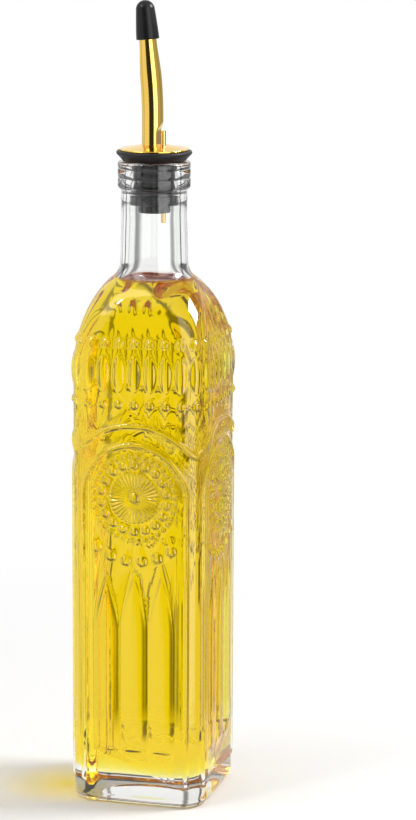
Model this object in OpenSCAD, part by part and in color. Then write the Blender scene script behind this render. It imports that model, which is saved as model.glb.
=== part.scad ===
// Square glass oil bottle with a push-in pourer.
// Millimetres. The origin is the middle of the base, +Z is up and the front face looks along -Y.

/* [Glass body] */
// Width of the square body across its flats, without the relief
body_w = 58; // [54:0.5:66]
// Height from the table to the top of the lip
bottle_h = 269; // [258:1:300]
// Plan radius of the four upright corners
corner_r = 11; // [8:0.5:14]
// Thickness of the glass wall
wall = 3.5; // [2.5:0.1:4.5]
// Thickness of the glass under the cavity
base_t = 12; // [8:0.5:16]
// Radius of the heel, where the walls turn under
heel_r = 4; // [2.5:0.5:6]
// Radius of the inside corner at the cavity floor
floor_r = 5; // [2:0.5:7]
// Width of the hollow pressed up under the base
punt_w = 38; // [20:1:42]
// Depth of that hollow
punt_d = 1.2; // [0.5:0.1:2]

/* [Shoulder and neck] */
// Height of the shoulder and neck, from the top of the straight walls to the lip
head_h = 85; // [80:1:92]
// Height that the shoulder dome would reach if the neck did not cut it
dome_h = 43; // [38:0.5:46]
// Angle up the dome at which the round neck takes over
dome_cut = 59.5; // [56:0.5:61]
// Radius of the neck where it leaves the shoulder
neck_root_r = 14.2; // [13.8:0.1:14.8]
// Radius of the neck below the collar
neck_r = 13.7; // [13.2:0.1:14]
// Height of the neck's root fillet and taper above the dome
neck_taper_h = 25; // [20:1:30]
// Radius of the bore that holds the stopper
bore_r = 10.3; // [9.8:0.1:10.8]
// How much wider the bore is at the foot of the neck
bore_flare = 0.5; // [0.2:0.1:1]
// Outer radius of the collar around the mouth
collar_r = 15.1; // [14.6:0.1:16]
// Height of the collar
collar_h = 11; // [9:0.5:13]
// Depth of the two grooves around the collar
groove_d = 0.25; // [0.1:0.05:0.5]
// Rounding of the lip
lip_round = 1.1; // [0.5:0.1:1.5]

/* [Relief] */
// Number of bead and almond columns on each face, the corner one included
columns = 8; // [6:2:10]
// How far beads stand out of the wall
bead_rise = 0.95; // [0.5:0.05:1.2]
// Width of the beads in the two rows
row_bead_w = 3.7; // [2.5:0.1:4.5]
// How far the upper row of beads lies above the top of the straight walls
upper_row_up = 13; // [11:0.5:15]
// How far the lower row of beads lies below the top of the straight walls
lower_row_drop = 12.5; // [11:0.5:14.5]
// How far the almonds' middle lies above the top of the straight walls
almond_up = 0.5; // [-1:0.5:2]
// Length of an almond
almond_l = 15.8; // [12:0.2:18]
// Width of an almond
almond_w = 5.2; // [4:0.1:5.6]
// How far the ridges of the arches stand out
ridge_rise = 0.8; // [0.4:0.05:1.1]
// Width of the ridges
ridge_w = 1.9; // [1.2:0.1:2.4]
// How far the middle of the medallion and of both arches lies below the top of the straight walls
medallion_drop = 51.5; // [48:0.5:54]
// Radius of the inner arch, along the middle of its ridge
inner_arch_r = 22.3; // [21:0.1:23]
// Radius of the outer arch, along the middle of its ridge
outer_arch_r = 30.4; // [29:0.1:31]
// Height at which the legs of the inner arch end
leg_z = 9; // [7:0.5:14]
// Width of the dome in the middle of the medallion
hub_w = 4.6; // [3:0.1:5]
// Number of rays in the medallion
rays = 36; // [24:4:40]
// Radius at which the rays start
ray_in = 3.2; // [2.6:0.1:4]
// Radius at which the rays end
ray_out = 10.6; // [9:0.1:11.4]
// How far the rays and the small beads stand out
ray_rise = 0.5; // [0.3:0.05:0.8]
// Number of large beads in the ring around the rays
ring_beads = 18; // [12:1:20]
// Radius of the ring of large beads
ring_r = 14.1; // [13.6:0.1:14.6]
// Width of a large bead of the ring
ring_bead_w = 3.7; // [2.5:0.1:4.2]
// Number of small beads around that ring
pearl_count = 36; // [24:2:40]
// Radius of the ring of small beads
pearl_r = 17.7; // [17.3:0.1:18.4]
// Width of a small bead
pearl_w = 1.9; // [1.2:0.1:2.2]
// Number of beads that hang below the medallion
drop_beads = 6; // [4:2:6]
// Radius of the curve that they lie on
drop_r = 26.8; // [25.5:0.1:28]
// Angle between two of them
drop_step = 14.6; // [12:0.1:15]
// Width of one of them
drop_bead_w = 4.8; // [3.5:0.1:5.2]
// Number of pointed reeds below the medallion
reeds = 3; // [1:2:3]
// Distance between the middles of two reeds
reed_pitch = 11.8; // [10:0.1:12.4]
// Flat strip between two reeds
reed_gap = 0.4; // [0.2:0.1:1]
// How far a reed stands out along its middle
reed_rise = 1.0; // [0.5:0.05:1.2]
// How far the points of the reeds lie below the middle of the medallion
reed_drop = 32.5; // [30.5:0.5:36]
// Height of the lower ends of the reeds
reed_low_z = 23.5; // [20:0.5:28]
// Length of the pointed part of a reed
reed_point = 26; // [18:1:30]

/* [Oil] */
// Depth of the oil's surface below the lip
oil_drop = 49.4; // [49:0.2:70]
// Gap between the oil's solid and the glass
oil_gap = 0.05; // [0.02:0.01:0.1]

/* [Stopper] */
// Clearance between the rubber fins and the bore
fin_clear = 0.1; // [0.05:0.01:0.2]
// Number of thin fins on the sleeve
fins = 3; // [2:1:3]
// Plain length between the band at the foot and the lowest fin
fin_gap = 0.7; // [0.3:0.1:1.5]
// Thickness of a fin where it leaves the sleeve
fin_root_t = 3; // [2:0.1:3.4]
// Thickness of a fin at its edge
fin_edge_t = 0.6; // [0.4:0.1:1]
// Outer radius of the sleeve between its fins
sleeve_r = 7.7; // [7.4:0.1:8]
// Length of the sleeve below the lip
sleeve_l = 17.6; // [17:0.2:19]
// Height of the plain band at the foot of the sleeve
band_h = 3.6; // [2.5:0.1:4]
// Outer radius of the core
core_r = 6.7; // [6.5:0.1:6.9]
// Clearance between the core and the sleeve that it turns in
core_clear = 0.05; // [0.02:0.01:0.1]
// Length of the core below the lip
core_l = 21; // [20:0.5:24]
// Thickness of the gasket on the lip
gasket_t = 4.4; // [3.6:0.1:5]
// Outer radius of the gasket at its widest
gasket_r = 15.7; // [15:0.1:16.5]
// Radius of the gasket where it meets the lip
gasket_foot_r = 12.9; // [12.4:0.1:13.4]
// Height of the gasket's rounded rim
gasket_rim = 1.8; // [1.2:0.1:2.2]

/* [Spout] */
// Outer radius of the collar disc
disc_r = 14.4; // [13.6:0.1:14.8]
// Thickness of the disc's sheet metal
disc_t = 0.8; // [0.5:0.1:1]
// Rise of the disc's dome above its rim
disc_rise = 1.7; // [1:0.1:2.2]
// Width of the flat rim of the disc
disc_rim_w = 1.5; // [1:0.1:2.5]
// Outer radius of the tube at its foot
tube_r = 4.45; // [4.2:0.05:4.7]
// Outer radius of the tube inside the tip cap
tip_r = 3.6; // [3.4:0.05:3.8]
// Wall of the tube
tube_wall = 0.7; // [0.5:0.05:0.9]
// Distance from the bottle's axis to the tube's axis
tube_offset = 0.7; // [0.5:0.1:1]
// Direction in which the spout leans, turned from +X
lean_turn = 180; // [0:90:270]
// Angle by which the tip leans out of the vertical
lean = 5; // [3:0.5:10]
// Straight length of the tube between the pressed-in flat and the bend
bend_gap = 1.8; // [1.2:0.1:6]
// Radius of the bend
bend_r = 180; // [120:5:240]
// Length of the part above the bend that narrows to the tip
taper_l = 16.2; // [12:0.2:20]
// Depth to which the tube is set in the core, below the lip
tube_depth = 8; // [5:0.5:10]
// Distance from the tube's axis to the flat where its side is pressed in for the air tube
flat_d = 2.6; // [2.4:0.1:2.9]
// Height of the upper end of that flat above the lip
flat_top = 12.5; // [11:0.5:14]

/* [Air tube] */
// Outer radius of the air tube
air_r = 1.1; // [0.9:0.05:1.2]
// Wall of the air tube
air_wall = 0.35; // [0.25:0.05:0.45]
// Distance from the bottle's axis to the air tube
air_offset = 3.9; // [3.8:0.05:4.1]
// Height of its upper end above the lip
air_top = 12.6; // [10:0.2:13]
// Depth of its lower end below the lip
air_low = 25.5; // [24:0.5:28]

/* [Tip cap] */
// Outer radius of the cap at its mouth
cap_mouth_r = 4.75; // [4.6:0.05:5]
// Outer radius of the cap where its round end starts
cap_top_r = 3.9; // [3.6:0.05:4.1]
// Length of the cap
cap_l = 16; // [14:0.5:18]
// Depth to which the tube goes into the cap
cap_depth = 9.5; // [7:0.5:10]
// Clearance between the cap and the tube
cap_clear = 0.05; // [0.02:0.01:0.1]

/* [Hidden] */

fit = 0.02;                  // gap between pieces that are pressed together
arc_steps = 6;               // facets of a corner's quarter turn
dome_steps = 10;             // rings up the shoulder
round_steps = 4;             // rings around the heel and the cavity floor
arch_steps = 24;             // facets of an arch
tube_sides = 48;             // facets around the spout's bend
bend_steps = 6;              // rings along the bend
round_turn = 90;             // a quarter turn
join_steps = arc_steps * 4;  // facets of the circle in which the shoulder ends
roundness = 0.99;            // how near to a circle the shoulder ends
spread = 4 / PI;             // mean breadth of a square over its width, seen from all round
half = body_w / 2;
half_in = half - wall;
corner_in = corner_r - wall;
shoulder_thin = 0.5;         // how much thinner the shoulder's top is than the wall
dome_in_h = dome_h - wall + shoulder_thin;
shoulder_z = bottle_h - head_h;
collar_z = bottle_h - collar_h;
oil_z = bottle_h - oil_drop;
upper_row_z = shoulder_z + upper_row_up;
lower_row_z = shoulder_z - lower_row_drop;
almond_z = shoulder_z + almond_up;
medallion_z = shoulder_z - medallion_drop;
reed_top_z = medallion_z - reed_drop;
roof_slope = 2;              // rise over run of the roof above the spout's flat
tube_straight = flat_top + roof_slope * (tube_r - flat_d) + bend_gap;
groove_rise = [0.38, 0.73];  // places of the collar's grooves, as shares of its height
groove_w = 0.9;
mouth_round = 0.6;
collar_edge = 0.6;           // bevel under the collar
ray_root_w = 0.28;           // width of a ray at its start
ray_end_w = 0.84;            // width of a ray at its end
sleeve_edge = 0.5;           // bevel at the foot of the sleeve
sleeve_step = 0.3;           // slope above the sleeve's plain band
sleeve_top = 0.8;            // plain length above the uppermost fin
fin_pitch = (sleeve_l - sleeve_top - fin_root_t - fin_gap - sleeve_step - band_h) / (fins - 1);
cap_edge = 0.3;              // bevel of the cap's mouth
core_edge = 0.5;             // bevel of the core's lower end

// ---- Rings of a rounded square, stacked into a shell ----

// Points of a rounded square: half its width, corner radius, height
function ring(h, r, z) = [
    for (corner = [0:3], step = [0:arc_steps])
        let (a = round_turn * corner + round_turn * step / arc_steps,
             m = round_turn * corner + round_turn / 2,
             c = (h - r) * sqrt(2))
        [c * cos(m) + r * cos(a), c * sin(m) + r * sin(a), z]];

// Mean half breadth of a rounded square
function breadth(h, r) = (h - r) * spread + r;

// Corner radius over half width, at a share of the way up the dome
function corner_share(k, t) = k + (roundness - k) * t * t;

// Half width of the shoulder at a share of the way up the dome
function dome_half(h, r, t) =
    breadth(h, r) * cos(dome_cut * t) / (spread - (spread - 1) * corner_share(r / h, t));

// Height of the shoulder at that share
function dome_z(rise, t) = shoulder_z + rise * sin(dome_cut * t);

// The share at which the outer shoulder reaches a height
function dome_share(z) = z <= shoulder_z ? 0 : asin((z - shoulder_z) / dome_h) / dome_cut;

// Ring of the shoulder at a share of the way up
function dome_ring(h, r, rise, t) =
    let (hz = dome_half(h, r, t))
    ring(hz, hz * corner_share(r / h, t), dome_z(rise, t));

// Ring of a rounded lower edge, at a step from 0 below to round_steps at its top
function foot_ring(h, r, z, round, step) =
    let (a = round_turn * step / round_steps, inset = round * (1 - sin(a)))
    ring(h - inset, r - min(inset, r - 1), z + round * (1 - cos(a)));

// Closed shell through rings that all have the same number of points
module shell(rings) {
    n = len(rings[0]);
    m = len(rings);
    sides = [for (k = [0:m - 2], i = [0:n - 1])
        let (j = (i + 1) % n) [k * n + i, (k + 1) * n + i, (k + 1) * n + j, k * n + j]];
    low = [for (i = [0:n - 1]) i];
    high = [for (i = [n - 1:-1:0]) (m - 1) * n + i];
    polyhedron(points = [for (r = rings) each r], faces = concat(sides, [low, high]), convexity = 4);
}

// Body and shoulder as one shell: half width, corner radius, foot, foot radius, dome height
module body_shell(h, r, foot_z, foot_r, rise) {
    foot = [for (s = [0:round_steps]) foot_ring(h, r, foot_z, foot_r, s)];
    dome = [for (s = [0:dome_steps]) dome_ring(h, r, rise, s / dome_steps)];
    shell(concat(foot, dome));
}

// ---- Round neck, outside and inside ----

function join_r(h, r) = dome_half(h, r, 1) * cos(180 / join_steps) - fit;
function join_tilt(h, r, rise) = atan(breadth(h, r) / rise * tan(dome_cut));

// Fillet from the top of the dome to a radius, as profile points
function fillet(h, r, rise, root_r) =
    let (tilt = join_tilt(h, r, rise), rf = (join_r(h, r) - root_r) / (1 - cos(tilt)),
         zc = dome_z(rise, 1) + rf * sin(tilt))
    [for (s = [0:round_steps * 2])
        let (a = tilt * (1 - s / (round_steps * 2)))
        [root_r + rf * (1 - cos(a)), zc - rf * sin(a)]];

// Groove around the collar, as profile points
function groove(z) = [[collar_r, z - groove_w / 2], [collar_r - groove_d, z], [collar_r, z + groove_w / 2]];

module neck_outside() {
    root = fillet(half, corner_r, dome_h, neck_root_r);
    taper_z = dome_z(dome_h, 1) + neck_taper_h;
    lip = [for (s = [0:round_steps])
        let (a = round_turn * s / round_steps)
        [collar_r - lip_round * (1 - cos(a)), bottle_h - lip_round * (1 - sin(a))]];
    rotate_extrude($fn = 96)
        polygon(concat(
            [[0, root[0].y - wall], [root[0].x - wall, root[0].y - wall], [root[0].x - wall, root[0].y]],
            root,
            [[neck_r, taper_z], [neck_r, collar_z - collar_edge], [collar_r - collar_edge, collar_z],
             [collar_r, collar_z + collar_edge]],
            groove(collar_z + collar_h * groove_rise[0]),
            groove(collar_z + collar_h * groove_rise[1]),
            lip,
            [[0, bottle_h]]));
}

// Neck passage, made smaller all round by a gap and cut off at a height
module neck_inside(gap, top) {
    root = fillet(half_in - gap, corner_in - gap, dome_in_h - gap, bore_r + bore_flare - gap);
    taper_z = dome_z(dome_h, 1) + neck_taper_h;
    rotate_extrude($fn = 96)
        intersection() {
            polygon(concat(
                [[0, root[0].y - 1], [root[0].x - 1, root[0].y - 1], [root[0].x - 1, root[0].y]],
                root,
                [[bore_r - gap, taper_z], [bore_r - gap, bottle_h - mouth_round],
                 [bore_r - gap + mouth_round, bottle_h], [bore_r - gap + mouth_round, bottle_h + 1],
                 [0, bottle_h + 1]]));
            square([collar_r, top]);
        }
}

// The space inside the bottle
module cavity(gap, top) {
    body_shell(half_in - gap, corner_in - gap, base_t + gap, floor_r, dome_in_h - gap);
    neck_inside(gap, top);
}

// ---- Relief ----

// Spherical dome of a given width that stands out along -Y
module bump(w, rise) {
    r = (w * w / 4 + rise * rise) / (2 * rise);
    translate([0, r - rise, 0]) sphere(r, $fn = 32);
}

// Puts its children on the wall: share of the way from a face's middle to the corner's middle,
// and height. The children's -Y points out of the glass.
module on_wall(share, z) {
    t = dome_share(z);
    h = dome_half(half, corner_r, t);
    r = h * corner_share(corner_r / half, t);
    s = abs(share) * (h - r + PI * r / 4);
    a = s > h - r ? (s - (h - r)) / r * 180 / PI : 0;
    x = s > h - r ? h - r + r * sin(a) : s;
    y = s > h - r ? h - r + r * cos(a) : h;
    translate([sign(share) * x, -y, z]) rotate([0, 0, sign(share) * a]) children();
}

// Almond: a slice of a spindle whose axis is upright and lies inside the wall
module almond() {
    r = (almond_w * almond_w / 4 + bead_rise * bead_rise) / (2 * bead_rise);
    arc = (almond_l * almond_l / 4 + bead_rise * bead_rise) / (2 * bead_rise);
    translate([0, r - bead_rise, 0])
        rotate_extrude($fn = 48)
            intersection() {
                translate([r - arc, 0]) circle(arc, $fn = 96);
                translate([0, -almond_l / 2 - 1]) square([r + 1, almond_l + 2]);
            }
}

// Beads and almonds of one face and of the corner on its right
module band() {
    for (c = [1 - columns / 2:columns / 2]) {
        share = c / (columns / 2);
        on_wall(share, upper_row_z) bump(row_bead_w, bead_rise);
        on_wall(share, lower_row_z) bump(row_bead_w, bead_rise);
        on_wall(share, almond_z) almond();
    }
}

// Strips of a front-face pattern that follow the wall around its corners
module raised(rise) {
    low = leg_z - 1;
    back = half - corner_r * (1 - cos(45)) - 0.3;
    intersection() {
        translate([0, 0, low]) linear_extrude(shoulder_z - low)
            polygon([for (p = ring(half + rise, corner_r + rise, 0)) [p.x, p.y]]);
        translate([0, -back, 0]) rotate([90, 0, 0]) linear_extrude(corner_r) children();
    }
}

// Points of an arc around the medallion's middle
function arc(r, from, to, steps) = [for (s = [0:steps])
    let (a = from + (to - from) * s / steps) [r * cos(a), medallion_z + r * sin(a)]];

// Both arches of one face, the inner one on its upright legs
module arches() {
    reach = half - corner_r * (1 - cos(45));
    start = acos(reach / outer_arch_r);
    for (side = [[inner_arch_r, 0, leg_z], [outer_arch_r, start, medallion_z]])
        let (r_out = side[0] + ridge_w / 2, r_in = side[0] - ridge_w / 2,
             outer = arc(r_out, side[1], 180 - side[1], arch_steps),
             inner = arc(r_in, 180 - side[1], side[1], arch_steps))
        polygon(side[1] > 0 ? concat(outer, inner)
            : concat([[r_out, side[2]]], outer, [[-r_out, side[2]], [-r_in, side[2]]], inner,
                     [[r_in, side[2]]]));
}

// Rays and small beads around the hub
module ray_fan() {
    for (i = [0:rays - 1])
        translate([0, medallion_z]) rotate(360 * i / rays)
            polygon([[ray_in, -ray_root_w / 2], [ray_out, -ray_end_w / 2],
                     [ray_out, ray_end_w / 2], [ray_in, ray_root_w / 2]]);
    for (i = [0:pearl_count - 1])
        translate([0, medallion_z]) rotate(360 * (i + 0.5) / pearl_count)
            translate([pearl_r, 0]) circle(pearl_w / 2, $fn = 6);
}

// Beads on a circle around the medallion's middle
module bead_ring(r, count, w, rise, first, step) {
    for (i = [0:count - 1])
        let (a = first + i * step)
        translate([r * cos(a), -half, medallion_z + r * sin(a)]) bump(w, rise);
}

// Pointed outline of a reed, standing on its lower end
module lancet(w, h, point) {
    r = (w * w / 4 + point * point) / w;
    turn = asin(point / r);
    edge = [for (s = [0:arc_steps])
        let (a = turn * s / arc_steps) [w / 2 - r + r * cos(a), h - point + r * sin(a)]];
    polygon(concat([[-w / 2, 0], [w / 2, 0]], edge,
                   [for (s = [arc_steps - 1:-1:0]) [-edge[s].x, edge[s].y]]));
}

// The reeds of one face: slices of wide upright cylinders inside pointed outlines
module reed_row() {
    w = reed_pitch - reed_gap;
    chord = w + 2 * reed_gap;
    r = (chord * chord / 4 + reed_rise * reed_rise) / (2 * reed_rise);
    for (i = [0:reeds - 1])
        translate([(i - (reeds - 1) / 2) * reed_pitch, 0, 0])
            intersection() {
                translate([0, -half - reed_rise + r, reed_low_z - 1])
                    cylinder(r = r, h = reed_top_z - reed_low_z + 2, $fn = 96);
                translate([0, -half + wall / 2, reed_low_z]) rotate([90, 0, 0])
                    linear_extrude(wall) lancet(w, reed_top_z - reed_low_z, reed_point);
            }
}

module face_relief() {
    band();
    raised(ridge_rise) arches();
    raised(ray_rise) ray_fan();
    translate([0, -half, medallion_z]) bump(hub_w, bead_rise);
    bead_ring(ring_r, ring_beads, ring_bead_w, bead_rise, round_turn, 360 / ring_beads);
    bead_ring(drop_r, drop_beads, drop_bead_w, bead_rise,
              -90 - drop_step * (drop_beads - 1) / 2, drop_step);
    reed_row();
}

// ---- Pieces ----

module glass_bottle() {
    punt_r = (punt_w * punt_w / 4 + punt_d * punt_d) / (2 * punt_d);
    color([0.93, 0.96, 0.95, 0.35])
    difference() {
        union() {
            body_shell(half, corner_r, 0, heel_r, dome_h);
            neck_outside();
            for (face = [0:3]) rotate([0, 0, 90 * face]) face_relief();
        }
        cavity(0, bottle_h + 1);
        translate([0, 0, punt_d - punt_r]) rotate([90, 0, 0]) sphere(punt_r, $fn = 96);
    }
}

module oil_fill() {
    color([0.93, 0.83, 0.05, 0.8])
    intersection() {
        cavity(oil_gap, oil_z);
        translate([-half, -half, 0]) cube([body_w, body_w, oil_z]);
    }
}

// Rubber sleeve: plain band at the foot, fins above it, thin edges down
module cork_sleeve() {
    fin_r = bore_r - fin_clear;
    foot = bottle_h - sleeve_l;
    first = bottle_h - sleeve_top;
    fin_points = [for (i = [0:fins - 1])
        let (z = first - fin_pitch * (fins - 1 - i))
        each [[sleeve_r, z - fin_root_t], [fin_r, z - fin_root_t], [fin_r, z - fin_root_t + fin_edge_t],
              [sleeve_r, z]]];
    color([0.12, 0.12, 0.13])
    rotate_extrude($fn = 96)
        polygon(concat(
            [[core_r + core_clear, foot], [fin_r - sleeve_edge, foot], [fin_r, foot + sleeve_edge],
             [fin_r, foot + band_h], [sleeve_r, foot + band_h + sleeve_step]],
            fin_points,
            [[sleeve_r, bottle_h], [core_r + core_clear, bottle_h]]));
}

// Gasket: conical underside that centres on the lip, rounded rim, flat top under the disc
module lip_gasket() {
    top = bottle_h + gasket_t;
    rim = gasket_rim / 2;
    color([0.2, 0.2, 0.21])
    rotate_extrude($fn = 96)
        polygon(concat(
            [[core_r + core_clear, bottle_h], [gasket_foot_r, bottle_h],
             [gasket_r - rim, top - gasket_rim]],
            [for (s = [-3:4])
                let (a = round_turn * s / 4)
                [gasket_r - rim + rim * cos(a), top - rim + rim * sin(a)]],
            [[core_r + core_clear, top]]));
}

// Axis of the leaning spout: turns its children so that +X is the way it leans
module spout_frame() {
    translate([0, 0, bottle_h]) rotate([0, 0, lean_turn]) children();
}

// Ring of points around the spout's axis, at an angle into the bend and a length beyond it
function spout_ring(r, a, beyond) = [
    for (i = [0:tube_sides - 1])
        let (t = 360 * i / tube_sides, u = r * cos(t))
        [tube_offset + bend_r * (1 - cos(a)) + u * cos(a) + beyond * sin(a),
         r * sin(t),
         tube_straight + bend_r * sin(a) - u * sin(a) + beyond * cos(a)]];

// Tube outline with given radii, from a height to the end of its bend, taper and tip
module tube_form(foot_r, end_r, low, extra) {
    foot = foot_r - fit;
    end = end_r - fit;
    translate([tube_offset, 0, low]) cylinder(r = foot_r, h = tube_straight - low, $fn = 64);
    shell(concat(
        [spout_ring(foot, 0, -1)],
        [for (s = [0:bend_steps]) spout_ring(foot, lean * s / bend_steps, 0)],
        [spout_ring(end, lean, taper_l), spout_ring(end, lean, taper_l + 1)]));
    bend_end() translate([0, 0, taper_l]) cylinder(r = end_r, h = cap_depth + extra, $fn = 64);
}

// Where the bend ends, with +Z along the tip
module bend_end() {
    translate([tube_offset + bend_r * (1 - cos(lean)), 0, tube_straight + bend_r * sin(lean)])
        rotate([0, lean, 0]) children();
}

// Room for the air tube beside the spout tube: everything further than d from the tube's axis,
// from a low height up to a sloping roof
module side_room(d, low, top) {
    far = 4 * tube_r;
    translate([tube_offset, 0, 0]) rotate([90, 0, 0])
        linear_extrude(far, center = true)
            polygon([[-d, low], [-d, top], [-d - far, top + roof_slope * far], [-d - far, low]]);
}

module spout_tube() {
    low = -tube_depth - 1;
    color([0.85, 0.65, 0.25])
    spout_frame()
    difference() {
        tube_form(tube_r, tip_r, -tube_depth, 0);
        side_room(flat_d, low, flat_top);
        difference() {
            tube_form(tube_r - tube_wall, tip_r - tube_wall, low, 1);
            side_room(flat_d - tube_wall, low - 1, flat_top + tube_wall);
        }
    }
}

// Upright D-shaped cutter around the tube's axis: radius, flat, and the heights it reaches
module d_cutter(r, flat, low, top) {
    difference() {
        translate([tube_offset, 0, low]) cylinder(r = r, h = top - low, $fn = 64);
        side_room(flat, low - 1, top);
    }
}

// Core: carries the tube and the air tube, and turns in the rubber sleeve
module stopper_core() {
    low = -core_l;
    color([0.06, 0.06, 0.065])
    difference() {
        translate([0, 0, bottle_h + low]) {
            cylinder(r1 = core_r - core_edge, r2 = core_r, h = core_edge, $fn = 96);
            translate([0, 0, core_edge]) cylinder(r = core_r, h = core_l - core_edge + gasket_t, $fn = 96);
        }
        spout_frame() {
            d_cutter(tube_r + fit, flat_d + fit, -tube_depth, gasket_t + 1);
            d_cutter(tube_r - tube_wall, flat_d - tube_wall, low - 1, 0);
            translate([-air_offset, 0, low - 1]) cylinder(r = air_r + fit, h = core_l + gasket_t + 2, $fn = 48);
        }
    }
}

// Domed sheet-metal disc on the gasket
module collar_disc() {
    low = bottle_h + gasket_t;
    flat_r = disc_r - disc_rim_w;
    dome = (flat_r * flat_r + disc_rise * disc_rise) / (2 * disc_rise);
    color([0.85, 0.65, 0.25])
    difference() {
        union() {
            translate([0, 0, low]) cylinder(r = disc_r, h = disc_t, $fn = 96);
            intersection() {
                translate([0, 0, low + disc_t + disc_rise - dome]) sphere(dome, $fn = 96);
                translate([0, 0, low + disc_t / 2]) cylinder(r = disc_r, h = disc_rise + disc_t, $fn = 96);
            }
        }
        intersection() {
            translate([0, 0, low + disc_rise - dome]) sphere(dome, $fn = 96);
            translate([0, 0, low - 1]) cylinder(r = flat_r - disc_t, h = disc_rise + 2, $fn = 96);
        }
        spout_frame() {
            d_cutter(tube_r + fit, flat_d + fit, 0, flat_top);
            translate([-air_offset, 0, 0]) cylinder(r = air_r + fit, h = flat_top, $fn = 48);
        }
    }
}

module air_tube() {
    color([0.85, 0.65, 0.25])
    spout_frame() translate([-air_offset, 0, -air_low])
    difference() {
        cylinder(r = air_r, h = air_low + air_top, $fn = 48);
        translate([0, 0, -1]) cylinder(r = air_r - air_wall, h = air_low + air_top + 2, $fn = 48);
    }
}

// Cap: a slim cone with a round end, bored for the tip
module tip_cap() {
    nose = [for (s = [0:arc_steps])
        let (a = round_turn * s / arc_steps) [cap_top_r * cos(a), cap_l - cap_top_r * (1 - sin(a))]];
    bore = tip_r + cap_clear;
    color([0.08, 0.08, 0.085])
    spout_frame() bend_end() translate([0, 0, taper_l])
        rotate_extrude($fn = 96)
            polygon(concat([[bore, 0], [cap_mouth_r - cap_edge, 0], [cap_mouth_r, cap_edge]], nose,
                           [[0, cap_depth], [bore, cap_depth]]));
}

glass_bottle();
oil_fill();
cork_sleeve();
lip_gasket();
stopper_core();
collar_disc();
spout_tube();
air_tube();
tip_cap();
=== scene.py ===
"""Looks of a square embossed glass oil bottle with a push-in pourer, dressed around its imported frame."""
import logging
import math
from dataclasses import dataclass, field
from enum import Enum

import bmesh
import bpy
import numpy as np
from mathutils import Euler, Matrix, Vector


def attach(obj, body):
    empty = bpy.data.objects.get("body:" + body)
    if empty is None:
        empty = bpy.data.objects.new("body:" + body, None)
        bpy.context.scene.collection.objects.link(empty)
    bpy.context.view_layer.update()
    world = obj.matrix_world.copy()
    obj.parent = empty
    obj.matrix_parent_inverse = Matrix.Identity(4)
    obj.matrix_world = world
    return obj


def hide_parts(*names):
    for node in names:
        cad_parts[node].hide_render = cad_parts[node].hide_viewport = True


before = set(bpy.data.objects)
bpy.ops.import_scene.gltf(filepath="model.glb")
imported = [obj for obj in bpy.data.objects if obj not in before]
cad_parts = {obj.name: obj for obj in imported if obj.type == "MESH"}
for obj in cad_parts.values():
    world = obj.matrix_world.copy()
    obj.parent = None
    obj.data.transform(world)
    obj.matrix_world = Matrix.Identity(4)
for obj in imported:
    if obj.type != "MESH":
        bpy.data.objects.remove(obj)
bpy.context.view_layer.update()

log = logging.getLogger("oil_bottle")
MM = 0.001
QUARTER = math.pi / 2
UP = Vector((0, 0, 1))
WHITE = (1, 1, 1, 1)


# ---------------------------------------------------------------- helpers


def lift(mesh_maker: bmesh.types.BMesh, name: str, smooth: bool = True) -> bpy.types.Object:
    """Turns a bmesh into an object at the origin.

    Args:
        mesh_maker: The bmesh, in metres, which is freed.
        name: Name of the object.
        smooth: Whether its faces are shaded smooth.

    Returns:
        The new object, linked to the scene.
    """
    bmesh.ops.recalc_face_normals(mesh_maker, faces=mesh_maker.faces)
    mesh = bpy.data.meshes.new(name)
    mesh_maker.to_mesh(mesh)
    mesh_maker.free()
    mesh.polygons.foreach_set("use_smooth", [smooth] * len(mesh.polygons))
    piece = bpy.data.objects.new(name, mesh)
    bpy.context.scene.collection.objects.link(piece)
    return piece


def sharpen(piece: bpy.types.Object, angle: float) -> None:
    """Keeps the edges of a smooth-shaded piece crisp where they turn by more than an angle in degrees."""
    piece.data.set_sharp_from_angle(angle=math.radians(angle))


def arc_points(cx: float, cz: float, r: float, start: float, end: float, steps: int
               ) -> list[tuple[float, float]]:
    """Points of an arc in a profile plane.

    Args:
        cx: Radius coordinate of the arc's centre.
        cz: Height of the arc's centre.
        r: The arc's own radius.
        start: Angle of its first point in degrees, counted from outwards and turning up.
        end: Angle of its last point.
        steps: Number of chords.

    Returns:
        The points as radius and height.
    """
    turns = [math.radians(start + (end - start) * s / steps) for s in range(steps + 1)]
    return [(cx + r * math.cos(a), cz + r * math.sin(a)) for a in turns]


def turned(points: list[tuple[float, float]], sides: int, closed: bool) -> bmesh.types.BMesh:
    """Spins a profile about the Z axis.

    Args:
        points: Profile as radius and height in metres.
        sides: Number of steps of the full turn.
        closed: Whether the last point joins the first, as on a ring. An open profile starts and ends on
            the axis.

    Returns:
        A closed bmesh.
    """
    maker = bmesh.new()
    verts = [maker.verts.new((r, 0.0, z)) for r, z in points]
    edges = [maker.edges.new(pair) for pair in zip(verts, verts[1:])]
    if closed:
        edges.append(maker.edges.new((verts[-1], verts[0])))
    bmesh.ops.spin(maker, geom=verts + edges, cent=(0, 0, 0), axis=(0, 0, 1), angle=2 * math.pi,
                   steps=sides, use_merge=True)
    bmesh.ops.remove_doubles(maker, verts=maker.verts, dist=1e-6)
    return maker


# ---------------------------------------------------------------- finishes


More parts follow.
